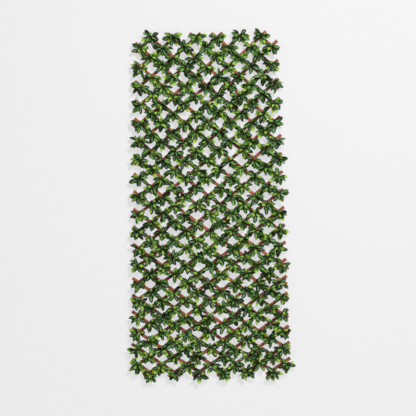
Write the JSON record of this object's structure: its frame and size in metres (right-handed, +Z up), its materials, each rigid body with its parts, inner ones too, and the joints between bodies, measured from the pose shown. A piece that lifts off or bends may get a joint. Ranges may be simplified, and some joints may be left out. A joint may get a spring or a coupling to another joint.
{
  "type": "artificial hedge fence panel",
  "caption": "Expanding trellis of two crossed layers of pivoted wooden slats, with a sprig of artificial leaves at every crossing.",
  "frame": {"origin": "on the back face of the centre sprig pin's head, where the panel rests against the wall, at the middle pivot of the lattice", "axes": "+Z up along the panel's height, +Y from the panel into the wall, +X to the viewer's right, so the leaves face -Y"},
  "size_m": [0.8526, 0.049, 1.8238],
  "materials": {
    "slat_wood": "stained red-brown, sawn",
    "sprig_plastic": "moulded leaf green, semi-gloss"
  },
  "bodies": {
    "centre_pin": {"sprig_pin_centre": "sprig_plastic"},
    "front_slat_01": {"front_slat_01": "slat_wood"},
    "front_slat_02": {"front_slat_02": "slat_wood"},
    "front_slat_03": {"front_slat_03": "slat_wood"},
    "front_slat_04": {"front_slat_04": "slat_wood"},
    "front_slat_05": {"front_slat_05": "slat_wood"},
    "front_slat_06": {"front_slat_06": "slat_wood"},
    "front_slat_07": {"front_slat_07": "slat_wood"},
    "front_slat_08": {"front_slat_08": "slat_wood"},
    "front_slat_09": {"front_slat_09": "slat_wood"},
    "front_slat_10": {"front_slat_10": "slat_wood"},
    "front_slat_11": {"front_slat_11": "slat_wood"},
    "front_slat_12": {"front_slat_12": "slat_wood"},
    "front_slat_13": {"front_slat_13": "slat_wood"},
    "front_slat_14": {"front_slat_14": "slat_wood"},
    "front_slat_15": {"front_slat_15": "slat_wood"},
    "front_slat_16": {"front_slat_16": "slat_wood"},
    "front_slat_17": {"front_slat_17": "slat_wood"},
    "front_slat_18": {"front_slat_18": "slat_wood"},
    "front_slat_19": {"front_slat_19": "slat_wood"},
    "front_slat_20": {"front_slat_20": "slat_wood"},
    "front_slat_21": {"front_slat_21": "slat_wood"},
    "front_slat_22": {"front_slat_22": "slat_wood"},
    "front_slat_23": {"front_slat_23": "slat_wood"},
    "front_slat_24": {"front_slat_24": "slat_wood"},
    "front_slat_25": {"front_slat_25": "slat_wood"},
    "rear_slat_01": {"rear_slat_01": "slat_wood", "sprig_pin_top_6": "sprig_plastic"},
    "rear_slat_02": {"rear_slat_02": "slat_wood", "sprig_pin_top_5": "sprig_plastic"},
    "rear_slat_03": {"rear_slat_03": "slat_wood", "sprig_pin_top_4": "sprig_plastic"},
    "rear_slat_04": {"rear_slat_04": "slat_wood", "sprig_pin_top_3": "sprig_plastic"},
    "rear_slat_05": {"rear_slat_05": "slat_wood", "sprig_pin_top_2": "sprig_plastic"},
    "rear_slat_06": {"rear_slat_06": "slat_wood", "sprig_pin_top_1": "sprig_plastic"},
    "rear_slat_07": {"rear_slat_07": "slat_wood"},
    "rear_slat_08": {"rear_slat_08": "slat_wood"},
    "rear_slat_09": {"rear_slat_09": "slat_wood"},
    "rear_slat_10": {"rear_slat_10": "slat_wood"},
    "rear_slat_11": {"rear_slat_11": "slat_wood"},
    "rear_slat_12": {"rear_slat_12": "slat_wood"},
    "rear_slat_13": {"rear_slat_13": "slat_wood"},
    "rear_slat_14": {"rear_slat_14": "slat_wood"},
    "rear_slat_15": {"rear_slat_15": "slat_wood"},
    "rear_slat_16": {"rear_slat_16": "slat_wood"},
    "rear_slat_17": {"rear_slat_17": "slat_wood"},
    "rear_slat_18": {"rear_slat_18": "slat_wood"},
    "rear_slat_19": {"rear_slat_19": "slat_wood"},
    "rear_slat_20": {"rear_slat_20": "slat_wood", "sprig_pin_bottom_right": "sprig_plastic"},
    "rear_slat_21": {"rear_slat_21": "slat_wood"},
    "rear_slat_22": {"rear_slat_22": "slat_wood"},
    "rear_slat_23": {"rear_slat_23": "slat_wood"},
    "rear_slat_24": {"rear_slat_24": "slat_wood"},
    "rear_slat_25": {"rear_slat_25": "slat_wood", "sprig_pin_bottom_left": "sprig_plastic"}
  },
  "joints": [
    {"name": "panel_fold", "type": "hinge", "parent": "centre_pin", "child": "front_slat_13", "pos_m": [0, 0, 0], "axis": [0, 1, 0], "range_deg": [-27, 17]},
    {"name": "front_slat_01_hinge", "type": "hinge", "parent": "rear_slat_07", "child": "front_slat_01", "pos_m": [-0.33768, 0, 0.85869], "axis": [0, 1, 0], "range_deg": [-54, 34]},
    {"name": "front_slat_02_hinge", "type": "hinge", "parent": "rear_slat_07", "child": "front_slat_02", "pos_m": [-0.28241, 0, 0.80799], "axis": [0, 1, 0], "range_deg": [-54, 34]},
    {"name": "front_slat_03_hinge", "type": "hinge", "parent": "rear_slat_07", "child": "front_slat_03", "pos_m": [-0.22673, 0, 0.75774], "axis": [0, 1, 0], "range_deg": [-54, 34]},
    {"name": "front_slat_04_hinge", "type": "hinge", "parent": "rear_slat_07", "child": "front_slat_04", "pos_m": [-0.17064, 0, 0.70795], "axis": [0, 1, 0], "range_deg": [-54, 34]},
    {"name": "front_slat_05_hinge", "type": "hinge", "parent": "rear_slat_07", "child": "front_slat_05", "pos_m": [-0.11416, 0, 0.65861], "axis": [0, 1, 0], "range_deg": [-54, 34]},
    {"name": "front_slat_06_hinge", "type": "hinge", "parent": "rear_slat_07", "child": "front_slat_06", "pos_m": [-0.05728, 0, 0.60973], "axis": [0, 1, 0], "range_deg": [-54, 34]},
    {"name": "front_slat_07_hinge", "type": "hinge", "parent": "rear_slat_13", "child": "front_slat_07", "pos_m": [-0.3517, 0, 0.28065], "axis": [0, 1, 0], "range_deg": [-54, 34]},
    {"name": "front_slat_08_hinge", "type": "hinge", "parent": "rear_slat_13", "child": "front_slat_08", "pos_m": [-0.29404, 0, 0.2327], "axis": [0, 1, 0], "range_deg": [-54, 34]},
    {"name": "front_slat_09_hinge", "type": "hinge", "parent": "rear_slat_13", "child": "front_slat_09", "pos_m": [-0.23599, 0, 0.18521], "axis": [0, 1, 0], "range_deg": [-54, 34]},
    {"name": "front_slat_10_hinge", "type": "hinge", "parent": "rear_slat_13", "child": "front_slat_10", "pos_m": [-0.17755, 0, 0.1382], "axis": [0, 1, 0], "range_deg": [-54, 34]},
    {"name": "front_slat_11_hinge", "type": "hinge", "parent": "rear_slat_13", "child": "front_slat_11", "pos_m": [-0.11874, 0, 0.09165], "axis": [0, 1, 0], "range_deg": [-54, 34]},
    {"name": "front_slat_12_hinge", "type": "hinge", "parent": "rear_slat_13", "child": "front_slat_12", "pos_m": [-0.05956, 0, 0.04559], "axis": [0, 1, 0], "range_deg": [-54, 34]},
    {"name": "front_slat_14_hinge", "type": "hinge", "parent": "rear_slat_13", "child": "front_slat_14", "pos_m": [0.05992, 0, -0.0451], "axis": [0, 1, 0], "range_deg": [-54, 34]},
    {"name": "front_slat_15_hinge", "type": "hinge", "parent": "rear_slat_13", "child": "front_slat_15", "pos_m": [0.12021, 0, -0.08972], "axis": [0, 1, 0], "range_deg": [-54, 34]},
    {"name": "front_slat_16_hinge", "type": "hinge", "parent": "rear_slat_13", "child": "front_slat_16", "pos_m": [0.18085, 0, -0.13385], "axis": [0, 1, 0], "range_deg": [-54, 34]},
    {"name": "front_slat_17_hinge", "type": "hinge", "parent": "rear_slat_13", "child": "front_slat_17", "pos_m": [0.24185, 0, -0.17749], "axis": [0, 1, 0], "range_deg": [-54, 34]},
    {"name": "front_slat_18_hinge", "type": "hinge", "parent": "rear_slat_13", "child": "front_slat_18", "pos_m": [0.3032, 0, -0.22063], "axis": [0, 1, 0], "range_deg": [-54, 34]},
    {"name": "front_slat_19_hinge", "type": "hinge", "parent": "rear_slat_13", "child": "front_slat_19", "pos_m": [0.3649, 0, -0.26327], "axis": [0, 1, 0], "range_deg": [-54, 34]},
    {"name": "front_slat_20_hinge", "type": "hinge", "parent": "rear_slat_19", "child": "front_slat_20", "pos_m": [0.06204, 0, -0.56869], "axis": [0, 1, 0], "range_deg": [-54, 34]},
    {"name": "front_slat_21_hinge", "type": "hinge", "parent": "rear_slat_19", "child": "front_slat_21", "pos_m": [0.12442, 0, -0.61033], "axis": [0, 1, 0], "range_deg": [-54, 34]},
    {"name": "front_slat_22_hinge", "type": "hinge", "parent": "rear_slat_19", "child": "front_slat_22", "pos_m": [0.18713, 0, -0.65147], "axis": [0, 1, 0], "range_deg": [-54, 34]},
    {"name": "front_slat_23_hinge", "type": "hinge", "parent": "rear_slat_19", "child": "front_slat_23", "pos_m": [0.25017, 0, -0.6921], "axis": [0, 1, 0], "range_deg": [-54, 34]},
    {"name": "front_slat_24_hinge", "type": "hinge", "parent": "rear_slat_19", "child": "front_slat_24", "pos_m": [0.31354, 0, -0.73221], "axis": [0, 1, 0], "range_deg": [-54, 34]},
    {"name": "front_slat_25_hinge", "type": "hinge", "parent": "rear_slat_19", "child": "front_slat_25", "pos_m": [0.37723, 0, -0.77182], "axis": [0, 1, 0], "range_deg": [-54, 34]},
    {"name": "rear_slat_01_hinge", "type": "hinge", "parent": "front_slat_07", "child": "rear_slat_01", "pos_m": [0.33768, 0, 0.85869], "axis": [0, 1, 0], "range_deg": [-34, 54]},
    {"name": "rear_slat_02_hinge", "type": "hinge", "parent": "front_slat_07", "child": "rear_slat_02", "pos_m": [0.28241, 0, 0.80799], "axis": [0, 1, 0], "range_deg": [-34, 54]},
    {"name": "rear_slat_03_hinge", "type": "hinge", "parent": "front_slat_07", "child": "rear_slat_03", "pos_m": [0.22673, 0, 0.75774], "axis": [0, 1, 0], "range_deg": [-34, 54]},
    {"name": "rear_slat_04_hinge", "type": "hinge", "parent": "front_slat_07", "child": "rear_slat_04", "pos_m": [0.17064, 0, 0.70795], "axis": [0, 1, 0], "range_deg": [-34, 54]},
    {"name": "rear_slat_05_hinge", "type": "hinge", "parent": "front_slat_07", "child": "rear_slat_05", "pos_m": [0.11416, 0, 0.65861], "axis": [0, 1, 0], "range_deg": [-34, 54]},
    {"name": "rear_slat_06_hinge", "type": "hinge", "parent": "front_slat_07", "child": "rear_slat_06", "pos_m": [0.05728, 0, 0.60973], "axis": [0, 1, 0], "range_deg": [-34, 54]},
    {"name": "rear_slat_07_hinge", "type": "hinge", "parent": "front_slat_13", "child": "rear_slat_07", "pos_m": [0.3517, 0, 0.28065], "axis": [0, 1, 0], "range_deg": [-34, 54]},
    {"name": "rear_slat_08_hinge", "type": "hinge", "parent": "front_slat_13", "child": "rear_slat_08", "pos_m": [0.29404, 0, 0.2327], "axis": [0, 1, 0], "range_deg": [-34, 54]},
    {"name": "rear_slat_09_hinge", "type": "hinge", "parent": "front_slat_13", "child": "rear_slat_09", "pos_m": [0.23599, 0, 0.18521], "axis": [0, 1, 0], "range_deg": [-34, 54]},
    {"name": "rear_slat_10_hinge", "type": "hinge", "parent": "front_slat_13", "child": "rear_slat_10", "pos_m": [0.17755, 0, 0.1382], "axis": [0, 1, 0], "range_deg": [-34, 54]},
    {"name": "rear_slat_11_hinge", "type": "hinge", "parent": "front_slat_13", "child": "rear_slat_11", "pos_m": [0.11874, 0, 0.09165], "axis": [0, 1, 0], "range_deg": [-34, 54]},
    {"name": "rear_slat_12_hinge", "type": "hinge", "parent": "front_slat_13", "child": "rear_slat_12", "pos_m": [0.05956, 0, 0.04559], "axis": [0, 1, 0], "range_deg": [-34, 54]},
    {"name": "rear_slat_13_hinge", "type": "hinge", "parent": "centre_pin", "child": "rear_slat_13", "pos_m": [0, 0, 0], "axis": [0, 1, 0], "range_deg": [-17, 27]},
    {"name": "rear_slat_14_hinge", "type": "hinge", "parent": "front_slat_13", "child": "rear_slat_14", "pos_m": [-0.05992, 0, -0.0451], "axis": [0, 1, 0], "range_deg": [-34, 54]},
    {"name": "rear_slat_15_hinge", "type": "hinge", "parent": "front_slat_13", "child": "rear_slat_15", "pos_m": [-0.12021, 0, -0.08972], "axis": [0, 1, 0], "range_deg": [-34, 54]},
    {"name": "rear_slat_16_hinge", "type": "hinge", "parent": "front_slat_13", "child": "rear_slat_16", "pos_m": [-0.18085, 0, -0.13385], "axis": [0, 1, 0], "range_deg": [-34, 54]},
    {"name": "rear_slat_17_hinge", "type": "hinge", "parent": "front_slat_13", "child": "rear_slat_17", "pos_m": [-0.24185, 0, -0.17749], "axis": [0, 1, 0], "range_deg": [-34, 54]},
    {"name": "rear_slat_18_hinge", "type": "hinge", "parent": "front_slat_13", "child": "rear_slat_18", "pos_m": [-0.3032, 0, -0.22063], "axis": [0, 1, 0], "range_deg": [-34, 54]},
    {"name": "rear_slat_19_hinge", "type": "hinge", "parent": "front_slat_13", "child": "rear_slat_19", "pos_m": [-0.3649, 0, -0.26327], "axis": [0, 1, 0], "range_deg": [-34, 54]},
    {"name": "rear_slat_20_hinge", "type": "hinge", "parent": "front_slat_19", "child": "rear_slat_20", "pos_m": [-0.06204, 0, -0.56869], "axis": [0, 1, 0], "range_deg": [-34, 54]},
    {"name": "rear_slat_21_hinge", "type": "hinge", "parent": "front_slat_19", "child": "rear_slat_21", "pos_m": [-0.12442, 0, -0.61033], "axis": [0, 1, 0], "range_deg": [-34, 54]},
    {"name": "rear_slat_22_hinge", "type": "hinge", "parent": "front_slat_19", "child": "rear_slat_22", "pos_m": [-0.18713, 0, -0.65147], "axis": [0, 1, 0], "range_deg": [-34, 54]},
    {"name": "rear_slat_23_hinge", "type": "hinge", "parent": "front_slat_19", "child": "rear_slat_23", "pos_m": [-0.25017, 0, -0.6921], "axis": [0, 1, 0], "range_deg": [-34, 54]},
    {"name": "rear_slat_24_hinge", "type": "hinge", "parent": "front_slat_19", "child": "rear_slat_24", "pos_m": [-0.31354, 0, -0.73221], "axis": [0, 1, 0], "range_deg": [-34, 54]},
    {"name": "rear_slat_25_hinge", "type": "hinge", "parent": "front_slat_19", "child": "rear_slat_25", "pos_m": [-0.37723, 0, -0.77182], "axis": [0, 1, 0], "range_deg": [-34, 54]}
  ],
  "couplings": [
    {"joint": "front_slat_01_hinge", "follows": "panel_fold", "ratio": 2},
    {"joint": "front_slat_02_hinge", "follows": "panel_fold", "ratio": 2},
    {"joint": "front_slat_03_hinge", "follows": "panel_fold", "ratio": 2},
    {"joint": "front_slat_04_hinge", "follows": "panel_fold", "ratio": 2},
    {"joint": "front_slat_05_hinge", "follows": "panel_fold", "ratio": 2},
    {"joint": "front_slat_06_hinge", "follows": "panel_fold", "ratio": 2},
    {"joint": "front_slat_07_hinge", "follows": "panel_fold", "ratio": 2},
    {"joint": "front_slat_08_hinge", "follows": "panel_fold", "ratio": 2},
    {"joint": "front_slat_09_hinge", "follows": "panel_fold", "ratio": 2},
    {"joint": "front_slat_10_hinge", "follows": "panel_fold", "ratio": 2},
    {"joint": "front_slat_11_hinge", "follows": "panel_fold", "ratio": 2},
    {"joint": "front_slat_12_hinge", "follows": "panel_fold", "ratio": 2},
    {"joint": "front_slat_14_hinge", "follows": "panel_fold", "ratio": 2},
    {"joint": "front_slat_15_hinge", "follows": "panel_fold", "ratio": 2},
    {"joint": "front_slat_16_hinge", "follows": "panel_fold", "ratio": 2},
    {"joint": "front_slat_17_hinge", "follows": "panel_fold", "ratio": 2},
    {"joint": "front_slat_18_hinge", "follows": "panel_fold", "ratio": 2},
    {"joint": "front_slat_19_hinge", "follows": "panel_fold", "ratio": 2},
    {"joint": "front_slat_20_hinge", "follows": "panel_fold", "ratio": 2},
    {"joint": "front_slat_21_hinge", "follows": "panel_fold", "ratio": 2},
    {"joint": "front_slat_22_hinge", "follows": "panel_fold", "ratio": 2},
    {"joint": "front_slat_23_hinge", "follows": "panel_fold", "ratio": 2},
    {"joint": "front_slat_24_hinge", "follows": "panel_fold", "ratio": 2},
    {"joint": "front_slat_25_hinge", "follows": "panel_fold", "ratio": 2},
    {"joint": "rear_slat_01_hinge", "follows": "panel_fold", "ratio": -2},
    {"joint": "rear_slat_02_hinge", "follows": "panel_fold", "ratio": -2},
    {"joint": "rear_slat_03_hinge", "follows": "panel_fold", "ratio": -2},
    {"joint": "rear_slat_04_hinge", "follows": "panel_fold", "ratio": -2},
    {"joint": "rear_slat_05_hinge", "follows": "panel_fold", "ratio": -2},
    {"joint": "rear_slat_06_hinge", "follows": "panel_fold", "ratio": -2},
    {"joint": "rear_slat_07_hinge", "follows": "panel_fold", "ratio": -2},
    {"joint": "rear_slat_08_hinge", "follows": "panel_fold", "ratio": -2},
    {"joint": "rear_slat_09_hinge", "follows": "panel_fold", "ratio": -2},
    {"joint": "rear_slat_10_hinge", "follows": "panel_fold", "ratio": -2},
    {"joint": "rear_slat_11_hinge", "follows": "panel_fold", "ratio": -2},
    {"joint": "rear_slat_12_hinge", "follows": "panel_fold", "ratio": -2},
    {"joint": "rear_slat_13_hinge", "follows": "panel_fold", "ratio": -1},
    {"joint": "rear_slat_14_hinge", "follows": "panel_fold", "ratio": -2},
    {"joint": "rear_slat_15_hinge", "follows": "panel_fold", "ratio": -2},
    {"joint": "rear_slat_16_hinge", "follows": "panel_fold", "ratio": -2},
    {"joint": "rear_slat_17_hinge", "follows": "panel_fold", "ratio": -2},
    {"joint": "rear_slat_18_hinge", "follows": "panel_fold", "ratio": -2},
    {"joint": "rear_slat_19_hinge", "follows": "panel_fold", "ratio": -2},
    {"joint": "rear_slat_20_hinge", "follows": "panel_fold", "ratio": -2},
    {"joint": "rear_slat_21_hinge", "follows": "panel_fold", "ratio": -2},
    {"joint": "rear_slat_22_hinge", "follows": "panel_fold", "ratio": -2},
    {"joint": "rear_slat_23_hinge", "follows": "panel_fold", "ratio": -2},
    {"joint": "rear_slat_24_hinge", "follows": "panel_fold", "ratio": -2},
    {"joint": "rear_slat_25_hinge", "follows": "panel_fold", "ratio": -2}
  ]
}
